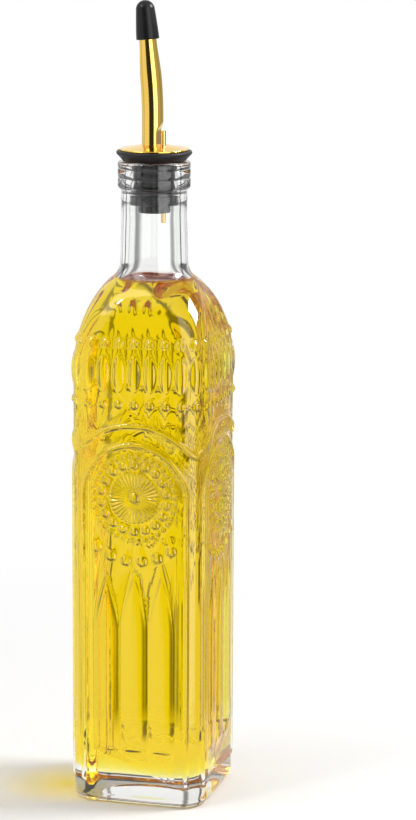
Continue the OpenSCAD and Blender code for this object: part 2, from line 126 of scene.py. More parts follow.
class Nodes:
    """A thin handle on a node tree that makes and wires nodes."""

    def __init__(self, tree: bpy.types.NodeTree) -> None:
        """Keeps the tree."""
        self.tree = tree

    def add(self, kind: str, **values: object) -> bpy.types.Node:
        """Makes a node.

        Args:
            kind: Blender's name of the node type.
            values: Attributes of the node to set.

        Returns:
            The node.
        """
        node = self.tree.nodes.new(kind)
        for key, value in values.items():
            setattr(node, key, value)
        return node

    def wire(self, value: object, socket: bpy.types.NodeSocket) -> None:
        """Feeds an input.

        Args:
            value: A socket, which is linked, or any other value, which becomes the input's own.
            socket: The input.
        """
        if isinstance(value, bpy.types.NodeSocket):
            self.tree.links.new(value, socket)
        else:
            socket.default_value = value

    def put(self, node: bpy.types.Node, **inputs: object) -> bpy.types.Node:
        """Feeds a node's inputs by name.

        Args:
            node: The node.
            inputs: Values as for wire, under the inputs' names, with _ for a space.

        Returns:
            The node.
        """
        for key, value in inputs.items():
            self.wire(value, node.inputs[key.replace("_", " ")])
        return node

    def coords(self) -> bpy.types.NodeSocket:
        """The object's own coordinates."""
        return self.add("ShaderNodeTexCoord").outputs["Object"]

    def noise(self, coords: bpy.types.NodeSocket, scale: object, detail: float, rough: float = 0.5
              ) -> bpy.types.NodeSocket:
        """A noise texture's factor on given coordinates."""
        node = self.add("ShaderNodeTexNoise")
        return self.put(node, Vector=coords, Scale=scale, Detail=detail, Roughness=rough).outputs["Fac"]

    def ramp(self, value: bpy.types.NodeSocket, low: float, high: float, to_low: float, to_high: float
             ) -> bpy.types.NodeSocket:
        """Maps a value's range onto another, clamped.

        Args:
            value: The value.
            low: Where its range starts.
            high: Where it ends.
            to_low: What the start becomes.
            to_high: What the end becomes.

        Returns:
            The mapped value.
        """
        node = self.add("ShaderNodeMapRange")
        self.put(node, Value=value, From_Min=low, From_Max=high, To_Min=to_low, To_Max=to_high)
        return node.outputs["Result"]

    def maths(self, operation: str, a: object, b: object = 0.0) -> bpy.types.NodeSocket:
        """A math node on two values.

        Args:
            operation: Blender's name of the operation.
            a: First value, a socket or a number.
            b: Second value.

        Returns:
            The result.
        """
        node = self.add("ShaderNodeMath", operation=operation)
        self.wire(a, node.inputs[0])
        self.wire(b, node.inputs[1])
        return node.outputs[0]

    def vectors(self, operation: str, a: bpy.types.NodeSocket, b: object = (0.0, 0.0, 0.0)) -> bpy.types.Node:
        """A vector math node on two vectors.

        Args:
            operation: Blender's name of the operation.
            a: First vector.
            b: Second vector, a socket or three numbers.

        Returns:
            The node, whose output is Vector or Value, after its operation.
        """
        node = self.add("ShaderNodeVectorMath", operation=operation)
        self.wire(a, node.inputs[0])
        self.wire(b, node.inputs[1])
        return node


def blank_material(name: str) -> tuple[bpy.types.Material, Nodes, bpy.types.Node]:
    """Makes a material with nothing but its Principled shader.

    Args:
        name: Its name.

    Returns:
        The material, a handle on its nodes, and the shader.
    """
    material = bpy.data.materials.new(name)
    material.use_nodes = True
    return material, Nodes(material.node_tree), material.node_tree.nodes["Principled BSDF"]


def grain_group() -> bpy.types.NodeTree:
    """Builds the shared group of fine grain, soft unevenness and smudges.

    Returns:
        The group, with inputs Grain Scale, Patch Scale, Low and High, and outputs Height and Rough.
    """
    group = bpy.data.node_groups.new("surface_grain", "ShaderNodeTree")
    face = group.interface
    for name, value in (("Grain Scale", 900.0), ("Patch Scale", 60.0), ("Low", 0.2), ("High", 0.4)):
        face.new_socket(name=name, in_out="INPUT", socket_type="NodeSocketFloat").default_value = value
    for name in ("Height", "Rough"):
        face.new_socket(name=name, in_out="OUTPUT", socket_type="NodeSocketFloat")
    make = Nodes(group)
    given = make.add("NodeGroupInput").outputs
    coords = make.coords()
    fine_share = 0.35
    fine = make.noise(coords, given["Grain Scale"], 3.0, 0.6)
    patch = make.noise(coords, given["Patch Scale"], 4.0, 0.55)
    mixed = make.maths("ADD", make.maths("MULTIPLY", fine, fine_share),
                       make.maths("MULTIPLY", patch, 1 - fine_share))
    span = make.maths("SUBTRACT", given["High"], given["Low"])
    rough = make.maths("ADD", make.maths("MULTIPLY", mixed, span), given["Low"])
    make.put(make.add("NodeGroupOutput"), Height=fine, Rough=rough)
    return group


@dataclass(frozen=True)
class Finish:
    """A solid, opaque finish with grain from the shared group."""

    name: str
    color: tuple[float, float, float]
    shade: tuple[float, float, float]
    metallic: float
    low: float
    high: float
    grain: float
    patch: float
    bump: float
    coat: float = 0.0
    shine: float = 0.5
    coat_rough: float = 0.12
    grain_depth: float = 0.0001
    shade_from: float = 0.35
    shade_to: float = 0.7

    def material(self, group: bpy.types.NodeTree) -> bpy.types.Material:
        """Builds the material.

        Args:
            group: The shared grain group.

        Returns:
            A material whose colour, roughness and normal vary over the surface.
        """
        material, make, shader = blank_material(self.name)
        grain = make.put(make.add("ShaderNodeGroup", node_tree=group), Grain_Scale=self.grain,
                         Patch_Scale=self.patch, Low=self.low, High=self.high)
        bump = make.put(make.add("ShaderNodeBump"), Strength=self.bump, Distance=self.grain_depth,
                        Height=grain.outputs["Height"])
        patches = make.noise(make.coords(), self.patch, 3.0)
        share = make.ramp(patches, self.shade_from, self.shade_to, 0.0, 1.0)
        tint = make.put(make.add("ShaderNodeMix", data_type="RGBA"), Factor=share, A=(*self.color, 1),
                        B=(*self.shade, 1))
        make.put(shader, Base_Color=tint.outputs["Result"], Roughness=grain.outputs["Rough"],
                 Normal=bump.outputs["Normal"], Metallic=self.metallic, Coat_Weight=self.coat,
                 Coat_Roughness=self.coat_rough, Specular_IOR_Level=self.shine)
        return material


@dataclass(frozen=True)
class ClearGlass:
    """Pressed soda glass: clear, with the slow unevenness that a mould leaves.

    The wall that the oil wets doesn't bend light, because oil and glass bend it almost alike.
    """

    name: str = "clear_pressed_glass"
    tint: tuple[float, float, float] = (0.985, 0.995, 0.985)
    ior: float = 1.5
    ripple: float = 0.25
    ripple_scale: float = 90.0
    ripple_depth: float = 0.0002
    film: float = 0.03
    film_scale: float = 35.0
    film_edge: tuple[float, float] = (0.55, 0.8)

    def material(self) -> bpy.types.Material:
        """Builds the glass material.

        Returns:
            A glass with soft waves and a thin film of smudges in places.
        """
        material, make, shader = blank_material(self.name)
        coords = make.coords()
        waves = make.noise(coords, self.ripple_scale, 2.0)
        bump = make.put(make.add("ShaderNodeBump"), Strength=self.ripple, Distance=self.ripple_depth,
                        Height=waves)
        film = make.ramp(make.noise(coords, self.film_scale, 3.0), *self.film_edge, 0.0, self.film)
        make.put(shader, Base_Color=(*self.tint, 1), IOR=self.ior, Transmission_Weight=1.0, Roughness=film,
                 Normal=bump.outputs["Normal"])
        return material


@dataclass(frozen=True)
class GoldenOil:
    """Clear oil whose colour comes from absorption over its depth."""

    name: str = "golden_oil"
    surface: tuple[float, float, float] = (1.0, 0.98, 0.85)
    ior: float = 1.47
    tint: tuple[float, float, float] = (0.984, 0.926, 0.02)
    density: float = 110.0
    haze: float = 0.01
    haze_scale: float = 25.0
    haze_edge: tuple[float, float] = (0.5, 0.9)

    def material(self) -> bpy.types.Material:
        """Builds the oil material.

        Returns:
            A clear surface around a volume that absorbs.
        """
        material, make, shader = blank_material(self.name)
        haze = make.ramp(make.noise(make.coords(), self.haze_scale, 3.0), *self.haze_edge, 0.0, self.haze)
        make.put(shader, Base_Color=(*self.surface, 1), IOR=self.ior, Transmission_Weight=1.0, Roughness=haze)
        body = make.put(make.add("ShaderNodeVolumeAbsorption"), Color=(*self.tint, 1), Density=self.density)
        make.put(material.node_tree.nodes["Material Output"], Volume=body.outputs["Volume"])
        return material


class Coat(Enum):
    """The opaque finishes of the pourer."""

    GOLD = Finish(
        "bright_gold_plating", color=(0.95, 0.65, 0.15), shade=(0.9, 0.58, 0.11), metallic=1.0,
        low=0.05, high=0.14, grain=700.0, patch=45.0, bump=0.05)
    AIR_TUBE = Finish(
        "drawn_gold_tube", color=(0.88, 0.62, 0.27), shade=(0.78, 0.52, 0.2), metallic=1.0,
        low=0.12, high=0.24, grain=900.0, patch=120.0, bump=0.1)
    SLEEVE = Finish(
        "soft_black_sleeve", color=(0.01, 0.01, 0.011), shade=(0.016, 0.016, 0.017), metallic=0.0,
        low=0.22, high=0.36, grain=1400.0, patch=90.0, bump=0.2, shine=0.3)
    GASKET = Finish(
        "satin_gasket_rubber", color=(0.016, 0.016, 0.018), shade=(0.024, 0.024, 0.026), metallic=0.0,
        low=0.34, high=0.5, grain=1600.0, patch=70.0, bump=0.3, shine=0.22)
    CORE = Finish(
        "black_moulded_core", color=(0.012, 0.012, 0.013), shade=(0.02, 0.02, 0.021), metallic=0.0,
        low=0.12, high=0.25, grain=800.0, patch=50.0, bump=0.1, shine=0.3)
    CAP = Finish(
        "black_tip_cap", color=(0.008, 0.008, 0.009), shade=(0.014, 0.014, 0.015), metallic=0.0,
        low=0.24, high=0.36, grain=1500.0, patch=80.0, bump=0.2, coat=0.12, shine=0.18)


# ---------------------------------------------------------------- bottle


@dataclass(frozen=True)
class Plan:
    """Sizes of the bottle's body, shoulder and neck, in millimetres."""

    half: float = 29.0
    corner: float = 11.0
    wall: float = 3.5
    height: float = 269.0
    heel: float = 4.0
    base: float = 12.0
    floor_round: float = 5.0
    punt_r: float = 19.0
    punt_d: float = 1.2
    shoulder: float = 184.0
    dome: float = 43.0
    dome_inside: float = 40.0
    dome_cut: float = 59.5
    neck_root: float = 14.2
    neck: float = 13.7
    taper: float = 25.0
    bore: float = 10.3
    bore_flare: float = 0.5
    collar: float = 15.1
    collar_h: float = 11.0
    groove_d: float = 0.25
    groove_w: float = 0.9
    grooves: tuple[float, float] = (0.38, 0.73)
    seam_rise: float = 0.22
    seam_drop: float = 4.5
    lip_round: float = 1.1
    mouth_round: float = 0.6
    oil_level: float = 219.6
    roundest: float = 0.999

    @property
    def taper_end(self) -> float:
        """Height where the neck has come down to its own radius."""
        return self.shoulder + self.dome * math.sin(math.radians(self.dome_cut)) + self.taper

    @property
    def spread(self) -> float:
        """Mean breadth of a square over its width, seen from all round."""
        return 4 / math.pi

    def breadth(self, half: float, corner: float) -> float:
        """Mean half breadth of a rounded square."""
        return (half - corner) * self.spread + corner

    def dome_ring(self, half: float, corner: float, rise: float, share: float) -> tuple[float, float, float]:
        """Ring of the shoulder, which turns from a rounded square into a circle on its way up.

        Args:
            half: Half width at its foot.
            corner: Corner radius at its foot.
            rise: Height of the whole dome.
            share: Share of the way up.

        Returns:
            Half width, corner radius and height.
        """
        start = corner / half
        k = start + (self.roundest - start) * share * share
        turn = math.radians(self.dome_cut * share)
        wide = self.breadth(half, corner) * math.cos(turn) / (self.spread - (self.spread - 1) * k)
        return wide, wide * k, self.shoulder + rise * math.sin(turn)

    def fillet(self, half: float, corner: float, rise: float, root: float, steps: int
               ) -> list[tuple[float, float]]:
        """Profile from the top of a dome into the neck.

        Args:
            half: Half width at the dome's foot.
            corner: Corner radius at the dome's foot.
            rise: Height of the whole dome.
            root: Radius where the neck starts.
            steps: Number of chords.

        Returns:
            The points as radius and height.
        """
        cut = math.radians(self.dome_cut)
        tilt = math.atan(self.breadth(half, corner) / rise * math.tan(cut))
        start = self.dome_ring(half, corner, rise, 1.0)
        r = (start[0] - root) / (1 - math.cos(tilt))
        centre = start[2] + r * math.sin(tilt)
        turns = [tilt * (1 - s / steps) for s in range(1, steps + 1)]
        return [(root + r * (1 - math.cos(a)), centre - r * math.sin(a)) for a in turns]


@dataclass(frozen=True)
class Relief:
    """Height field of the ornament on each face: beads, almonds, arches, a rayed medallion and reeds."""

    columns: int = 8
    bead_rise: float = 0.95
    row_bead: float = 3.7
    upper_row: float = 197.0
    lower_row: float = 171.5
    almond_z: float = 184.5
    almond_l: float = 15.8
    almond_w: float = 5.2
    ridge_rise: float = 0.8
    ridge_w: float = 2.0
    outer_ridge: float = 1.1
    centre: float = 132.5
    inner_arch: float = 22.3
    outer_arch: float = 30.4
    valley_round: float = 2.6
    leg_end: float = 9.0
    hub: float = 4.6
    rays: int = 36
    ray_in: float = 3.2
    ray_out: float = 10.8
    ray_rise: float = 0.5
    ray_start: float = 0.6
    ray_stop: float = 0.9
    ray_full: float = 7.0
    ray_least: float = 0.45
    ray_blunt: float = 0.8
    ray_sunk: float = 0.02
    ring_beads: int = 18
    ring_r: float = 14.1
    ring_bead: float = 3.7
    pearls: int = 36
    pearl_r: float = 17.7
    pearl: float = 2.0
    pearl_rise: float = 0.6
    drops: int = 6
    drop_r: float = 26.8
    drop_step: float = 14.6
    drop_bead: float = 4.8
    reeds: int = 3
    reed_pitch: float = 11.8
    reed_gap: float = 0.5
    reed_rise: float = 1.0
    reed_top: float = 100.0
    reed_low: float = 23.5
    reed_point: float = 26.0
    reed_flat: float = 3.2
    reed_foot: float = 3.0
    reed_tip: float = 0.6
    fade: float = 2.0
    far_off: float = 99.0
    soft: float = 0.05

    def cap(self, d2: np.ndarray, width: float, rise: float) -> np.ndarray:
        """Spherical dome over squared distances from its middle, below zero outside its width."""
        r = (width * width / 4 + rise * rise) / (2 * rise)
        return np.sqrt(np.maximum(r * r - d2, 0.0)) - (r - rise)

    def beads_on_circle(self, rho: np.ndarray, turn: np.ndarray, r: float, count: int, phase: float,
                        width: float, rise: float) -> np.ndarray:
        """Evenly spaced beads on a circle.

        Args:
            rho: Distance of each point from the circle's middle.
            turn: Direction of each point from there.
            r: The circle's radius.
            count: Number of beads.
            phase: Direction of the first bead.
            width: Width of a bead.
            rise: Its height.

        Returns:
            The beads' height, below zero beside them.
        """
        step = 2 * math.pi / count
        near = (turn - phase + step / 2) % step - step / 2
        d2 = rho * rho + r * r - 2 * rho * r * np.cos(near)
        return self.cap(d2, width, rise)

    def band(self, u: np.ndarray, z: np.ndarray, reach: np.ndarray) -> np.ndarray:
        """Two rows of beads with almonds between them.

        Args:
            u: Distance along the wall from the middle of the face.
            z: Height.
            reach: Distance along the wall to the middle of the corner.

        Returns:
            The ornament's height, below zero beside it.
        """
        pitch = 2 * reach / self.columns
        near = (u + pitch / 2) % pitch - pitch / 2
        rows = [self.cap(near * near + (z - row) ** 2, self.row_bead, self.bead_rise)
                for row in (self.upper_row, self.lower_row)]
        r0 = (self.almond_w ** 2 / 4 + self.bead_rise ** 2) / (2 * self.bead_rise)
        bow = (self.almond_l ** 2 / 4 + self.bead_rise ** 2) / (2 * self.bead_rise)
        dz = np.clip(z - self.almond_z, -self.almond_l, self.almond_l)
        spindle = r0 - bow + np.sqrt(bow * bow - dz * dz)
        almonds = np.sqrt(np.maximum(spindle * spindle - near * near, 0.0)) - (r0 - self.bead_rise)
        almonds = np.where(np.abs(dz) < self.almond_l / 2 + 1, almonds, -1.0)
        return np.maximum.reduce([*rows, almonds])

    def arches(self, u: np.ndarray, z: np.ndarray, reach: np.ndarray) -> np.ndarray:
        """Ridges of the inner arch with its legs, and of the outer arch that runs on around the corners.

        Args:
            u: Distance along the wall from the middle of the face.
            z: Height.
            reach: Distance along the wall to the middle of the corner.

        Returns:
            The ridges' height, below zero beside them.
        """
        dz = z - self.centre
        rho = np.hypot(u, dz)
        inner = np.where(dz > 0, np.abs(rho - self.inner_arch), np.abs(np.abs(u) - self.inner_arch))
        gap = np.sqrt((reach - np.abs(u)) ** 2 + self.valley_round ** 2)
        across = np.maximum(reach - gap, 0.0)
        crown = np.sqrt(self.outer_arch ** 2 - across ** 2)
        slope = across / crown
        outer = np.where(dz > 0, np.abs(dz - crown) / np.sqrt(1 + slope * slope), self.far_off)
        fade = np.clip((z - self.leg_end) / self.fade, 0.0, 1.0)
        return np.maximum(self.cap(inner * inner, self.ridge_w, self.ridge_rise) + fade - 1,
                          self.cap(outer * outer, self.ridge_w * self.outer_ridge, self.ridge_rise))

    def medallion(self, u: np.ndarray, z: np.ndarray) -> np.ndarray:
        """Hub, rays, two rings of beads and the curve of drops below them.

        Args:
            u: Distance along the wall from the middle of the face.
            z: Height.

        Returns:
            The ornament's height, below zero beside it.
        """
        dz = z - self.centre
        rho = np.hypot(u, dz)
        turn = np.arctan2(dz, u)
        hub = self.cap(rho * rho, self.hub, self.bead_rise)
        wave = np.cos(turn * self.rays) * 0.5 + 0.5
        starts = np.clip((rho - self.ray_in) / self.ray_start, 0, 1)
        ends = starts * np.clip((self.ray_out - rho) / self.ray_stop, 0, 1)
        spread = np.clip(rho / self.ray_full, self.ray_least, 1.0)
        rays = self.ray_rise * wave ** self.ray_blunt * np.sqrt(ends) * spread - self.ray_sunk
        ring = self.beads_on_circle(rho, turn, self.ring_r, self.ring_beads, QUARTER, self.ring_bead,
                                    self.bead_rise)
        pearls = self.beads_on_circle(rho, turn, self.pearl_r, self.pearls, math.pi / self.pearls, self.pearl,
                                      self.pearl_rise)
        forms = [hub, rays, ring, pearls]
        for i in range(self.drops):
            a = -QUARTER + math.radians(self.drop_step) * (i - (self.drops - 1) / 2)
            d2 = (u - self.drop_r * math.cos(a)) ** 2 + (dz - self.drop_r * math.sin(a)) ** 2
            forms.append(self.cap(d2, self.drop_bead, self.bead_rise))
        return np.maximum.reduce(forms)

    def reed_row(self, u: np.ndarray, z: np.ndarray) -> np.ndarray:
        """Pointed reeds side by side, round across and fading out at both ends.

        Args:
            u: Distance along the wall from the middle of the face.
            z: Height.

        Returns:
            The reeds' height, below zero beside them.
        """
        half = (self.reed_pitch - self.reed_gap) / 2
        near = (u + self.reed_pitch * self.reeds / 2) % self.reed_pitch - self.reed_pitch / 2
        inside = np.abs(u) < self.reed_pitch * self.reeds / 2
        up = np.clip(z - (self.reed_top - self.reed_point), 0.0, self.reed_point)
        bow = (half * half + self.reed_point ** 2) / (2 * half)
        local = np.maximum(half - bow + np.sqrt(bow * bow - up * up), 0.02)
        low = np.clip((z - self.reed_low) / self.reed_foot, 0.0, 1.0)
        rise = self.reed_rise * (local / half) ** self.reed_tip * np.sqrt(np.clip(low * (2 - low), 0, 1))
        body = rise * (1 - np.abs(near / local) ** self.reed_flat)
        return np.where(inside & (z > self.reed_low) & (z < self.reed_top), body, -1.0)

    def height(self, u: np.ndarray, z: np.ndarray, reach: np.ndarray) -> np.ndarray:
        """Rise of the ornament in millimetres, with a small fillet where it leaves the wall.

        Args:
            u: Distance along the wall from the middle of the face.
            z: Height.
            reach: Distance along the wall from the middle of the face to the middle of its corner.

        Returns:
            Millimetres that the surface stands out.
        """
        top = np.maximum.reduce([self.band(u, z, reach), self.arches(u, z, reach), self.medallion(u, z),
                                 self.reed_row(u, z)])
        return 0.5 * (top + np.sqrt(top * top + self.soft * self.soft))


@dataclass
class Row:
    """One ring of the bottle's surface: a rounded square at a height, which may carry relief or be wetted."""

    z: float
    half: float
    corner: float
    relief: bool = False
    wet: bool = False


@dataclass
class Bottle:
    """The glass body and the oil in it."""

    plan: Plan = field(default_factory=Plan)
    relief: Relief = field(default_factory=Relief)
    columns: int = 120
    cuts: int = 3
    fine_step: float = 0.5
    fine_margin: float = 0.4
    dome_steps: int = 48
    flat_angle: float = 0.12
    overlap: float = 0.15
    meniscus: float = 1.2
    meniscus_rim: float = 0.5
    meniscus_fall: float = 1.1

    def outside(self) -> list[Row]:
        """Rings from the middle of the base up to the lip.

        Returns:
            The rings.
        """
        p = self.plan
        flat_half, flat_corner = p.half - p.heel, p.corner - p.heel
        punt = (p.punt_r ** 2 + p.punt_d ** 2) / (2 * p.punt_d)
        rows = [Row(p.punt_d - punt + math.sqrt(punt ** 2 - (s * p.punt_r) ** 2), s * p.punt_r, s * p.punt_r)
                for s in (0.0, 0.15, 0.35, 0.55, 0.75, 0.9, 1.0)]
        rows.append(Row(0.0, flat_half - 1.5, flat_corner - 1.0))
        for s in range(7):
            a = QUARTER * s / 6
            inset = p.heel * (1 - math.sin(a))
            rows.append(Row(p.heel * (1 - math.cos(a)), p.half - inset, p.corner - inset))
        for low, high, step in ((p.heel, 9.0, 1.0), (9.0, 28.0, 0.8), (28.0, 72.0, 4.0), (72.0, 102.0, 0.6),
                                (102.0, p.shoulder, self.fine_step)):
            count = round((high - low) / step)
            rows += [Row(low + (high - low) * (s + 1) / count, p.half, p.corner, low > p.heel)
                     for s in range(count)]
        for s in range(1, self.dome_steps + 1):
            wide, corner, z = p.dome_ring(p.half, p.corner, p.dome, s / self.dome_steps)
            rows.append(Row(z, wide, corner, z < self.relief.upper_row + 4))
        rows += [Row(z, r, r) for r, z in p.fillet(p.half, p.corner, p.dome, p.neck_root, 10)]
        rows += [Row(z, r, r) for r, z in self.neck_profile(rows[-1].z)]
        return rows

    def neck_profile(self, root_z: float) -> list[tuple[float, float]]:
        """Outer profile from the neck's root to the top of the lip.

        Args:
            root_z: Height of the neck's root.

        Returns:
            The points as radius and height.
        """
        p = self.plan
        collar = p.height - p.collar_h
        points = [(p.neck_root + (p.neck - p.neck_root) * s / 4, root_z + (p.taper_end - root_z) * s / 4)
                  for s in range(1, 5)]
        seam = collar - p.seam_drop
        points += [(p.neck, seam - 0.8), (p.neck + p.seam_rise, seam), (p.neck, seam + 0.8), (p.neck, collar - 1.2)]
        points += arc_points(p.collar - 1.2, collar + 0.9, 1.2, -75, 0, 5)
        for share in p.grooves:
            z = collar + p.collar_h * share
            points += [(p.collar, z - p.groove_w / 2), (p.collar - p.groove_d * 0.8, z - p.groove_w / 5),
                       (p.collar - p.groove_d, z), (p.collar - p.groove_d * 0.8, z + p.groove_w / 5),
                       (p.collar, z + p.groove_w / 2)]
        points += arc_points(p.collar - p.lip_round, p.height - p.lip_round, p.lip_round, 0, 90, 6)
        return points

    def inside(self, gap: float) -> list[Row]:
        """Rings from the middle of the cavity floor up to the mouth's foot.

        Args:
            gap: How far they are pushed into the glass.

        Returns:
            The rings.
        """
        p = self.plan
        half, corner = p.half - p.wall + gap, p.corner - p.wall + gap
        rise = p.dome_inside + gap
        floor = half - p.floor_round
        rows = [Row(p.base - gap, s * floor, s * floor) for s in (0.0, 0.3, 0.6, 0.85)]
        for s in range(7):
            a = QUARTER * s / 6
            inset = p.floor_round * (1 - math.sin(a))
            rows.append(Row(p.base - gap + p.floor_round * (1 - math.cos(a)), half - inset,
                            corner - min(inset, corner - 1.5)))
        rows += [Row(p.base + (p.shoulder - p.base) * s / 12, half, corner) for s in range(1, 13)]
        for s in range(1, 19):
            wide, round_r, z = p.dome_ring(half, corner, rise, s / 18)
            rows.append(Row(z, wide, round_r))
        rows += [Row(z, r, r) for r, z in p.fillet(half, corner, rise, p.bore + p.bore_flare + gap, 8)]
        for row in rows:
            row.wet = row.z < p.oil_level
        return rows

    def mouth(self) -> list[Row]:
        """Rings of the bore up to the rounded edge of the mouth.

        Returns:
            The rings.
        """
        p = self.plan
        edge = p.mouth_round
        rows = [Row(z, p.bore, p.bore) for z in (p.taper_end, p.height - 9, p.height - edge)]
        rows += [Row(z, r, r) for r, z in arc_points(p.bore + edge, p.height - edge, edge, 180, 90, 4)[1:]]
        return rows

    def wrap(self, rows: list[Row], fine: bool) -> bmesh.types.BMesh:
        """Wraps a grid around the rings.

        Args:
            rows: The rings, from one pole or end to the other.
            fine: Whether the rings with relief get more columns, and their ornament.

        Returns:
            A bmesh in metres, closed around but open at any end that isn't a pole.
        """
        maker = bmesh.new()
        bmesh.ops.create_grid(maker, x_segments=self.columns, y_segments=len(rows) - 1, size=1.0)
        last = len(rows) - 1
        if fine:
            marked = [i for i, row in enumerate(rows) if row.relief]
            low, high = marked[0] - 0.5, marked[-1] + 0.5
            across = [e for e in maker.edges
                      if abs(e.verts[0].co.y - e.verts[1].co.y) < 1e-6
                      and low < (e.verts[0].co.y + 1) / 2 * last < high]
            bmesh.ops.subdivide_edges(maker, edges=across, cuts=self.cuts, use_grid_fill=True)
            self.refine(maker, rows)
        maker.verts.ensure_lookup_table()
        flat = np.array([v.co for v in maker.verts])
        index = np.clip(np.round((flat[:, 1] + 1) * last) / 2, 0, last)
        place = self.placed(flat[:, 0], index, rows)
        for face in maker.faces:
            face.material_index = int(all(rows[int(index[v.index])].wet for v in face.verts))
        for vert, co in zip(maker.verts, place.tolist()):
            vert.co = co
        bmesh.ops.remove_doubles(maker, verts=maker.verts, dist=2e-6)
        return maker

    def refine(self, maker: bmesh.types.BMesh, rows: list[Row]) -> None:
        """Splits the grid's faces where the medallions have rays.

        Args:
            maker: The flat grid.
            rows: Its rings.
        """
        last = len(rows) - 1
        reach = self.plan.half - self.plan.corner * (1 - math.pi / 4)
        fine = []
        for face in maker.faces:
            place = face.calc_center_median()
            row = (place.y + 1) / 2 * last
            if not rows[int(row)].relief:
                continue
            low = int(row)
            z = rows[low].z + (rows[min(low + 1, last)].z - rows[low].z) * (row - low)
            turn = (place.x + 1) * 2
            u = (turn - round(turn)) * 2 * reach
            if math.hypot(u, z - self.relief.centre) < self.relief.ray_out + self.fine_margin:
                fine.append(face)
        edges = list({e for f in fine for e in f.edges})
        bmesh.ops.subdivide_edges(maker, edges=edges, cuts=1, use_grid_fill=True)

    def placed(self, across: np.ndarray, index: np.ndarray, rows: list[Row]) -> np.ndarray:
        """Places grid points on the rings.

        Args:
            across: Place around the bottle, from -1 to 1.
            index: Ring of each point, or the middle between two.
            rows: The rings.

        Returns:
            Points in metres.
        """
        table = np.array([(row.z, row.half, row.corner, float(row.relief)) for row in rows])
        low = index.astype(int)
        part = (index - low)[:, None]
        ring = table[low] * (1 - part) + table[np.minimum(low + 1, len(rows) - 1)] * part
        z, half, corner, raised = ring.T
        faces = (across + 1) * 2
        face = np.round(faces)
        share = (faces - face) * 2
        flat = half - corner
        reach = flat + math.pi / 4 * corner
        s = np.abs(share) * reach
        turn = np.where(s > flat, (s - flat) / np.maximum(corner, 1e-9), 0.0)
        x = np.sign(share) * np.where(s > flat, flat + corner * np.sin(turn), s)
        y = -np.where(s > flat, flat + corner * np.cos(turn), half)
        nx, ny = np.sign(share) * np.sin(turn), -np.cos(turn)
        rise = np.where(raised > 0.9, self.relief.height(share * reach, z, np.maximum(reach, 1.0)), 0.0)
        x, y = x + nx * rise, y + ny * rise
        spin = face * QUARTER
        turned_x = x * np.cos(spin) - y * np.sin(spin)
        turned_y = x * np.sin(spin) + y * np.cos(spin)
        return np.column_stack([turned_x, turned_y, z]) * MM

    def glass(self) -> bpy.types.Object:
        """Builds the glass body: outside, lip, bore and cavity as one closed wall.

        Returns:
            The piece.
        """
        rows = self.outside() + list(reversed(self.inside(0.0) + self.mouth()))
        maker = self.wrap(rows, fine=True)
        before = len(maker.faces)
        bmesh.ops.dissolve_limit(maker, angle_limit=math.radians(self.flat_angle), verts=maker.verts,
                                 edges=maker.edges, delimit={"MATERIAL"})
        log.info("glass: %d rings, %d faces, %d after joining flat ones", len(rows), before, len(maker.faces))
        return lift(maker, "glass_body")

    def oil(self) -> bpy.types.Object:
        """Builds the oil, a little into the glass all round, with a meniscus at its rim.

        Returns:
            The piece.
        """
        level = self.plan.oil_level
        wall = self.inside(self.overlap)
        rows = [row for row in wall if row.z < level - 0.4]
        for row in rows:
            row.wet = True
        rim = rows[-1]
        root = wall[len(rows)]
        share = (level + self.meniscus_rim - rim.z) / (root.z - rim.z)
        edge = rim.half + (root.half - rim.half) * share
        rows.append(Row(level + self.meniscus_rim, edge, edge, wet=True))
        flat = level - self.meniscus
        for d in (0.2, 0.5, 0.9, 1.4, 2.0, 2.8, 3.8, 5.2):
            climb = (self.meniscus + self.meniscus_rim) * math.exp(-d / self.meniscus_fall)
            rows.append(Row(flat + climb, edge - self.overlap - d, edge - self.overlap - d))
        rows += [Row(flat, edge * s, edge * s) for s in (0.35, 0.15, 0.0)]
        return lift(self.wrap(rows, fine=False), "oil_body")

    def build(self) -> None:
        """Builds and dresses both pieces."""
        glass = self.glass()
        glass.data.materials.append(ClearGlass().material())
        glass.data.materials.append(ClearGlass(name="wetted_glass_wall", ior=1.0).material())
        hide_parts("glass_bottle")
        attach(glass, "bottle")
        oil = self.oil()
        oil.data.materials.append(GoldenOil().material())
        oil.data.materials.append(GoldenOil(name="golden_oil_wall", ior=1.0).material())
        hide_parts("oil_fill")
        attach(oil, "bottle")
        log.info("bottle: %d glass and %d oil faces", len(glass.data.polygons), len(oil.data.polygons))


# ---------------------------------------------------------------- pourer


